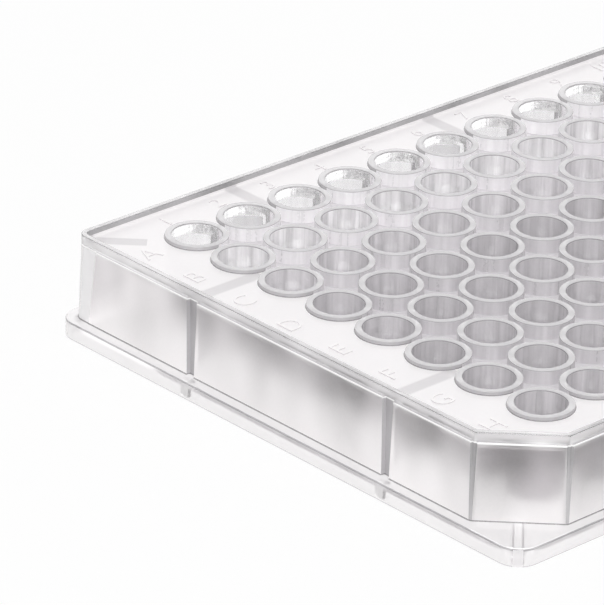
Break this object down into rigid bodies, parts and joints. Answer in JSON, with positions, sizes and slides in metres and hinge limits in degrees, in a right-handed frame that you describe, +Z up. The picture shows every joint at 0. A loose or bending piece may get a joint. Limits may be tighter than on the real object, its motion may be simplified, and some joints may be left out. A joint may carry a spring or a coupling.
{
  "type": "well plate",
  "caption": "Clear microplate with a grid of round flat-bottomed wells in a skirted, flanged frame with two cut corners.",
  "frame": {"origin": "centre of the footprint, on the surface that the flange stands on", "axes": "+X along the long side towards the last column, +Y along the short side towards row A, +Z up out of the wells"},
  "size_m": [0.1278, 0.0854, 0.0143],
  "materials": {
    "clear_plastic": "clear moulded plastic with a satin deck"
  },
  "bodies": {
    "root": {"well_plate": "clear_plastic"}
  },
  "joints": []
}
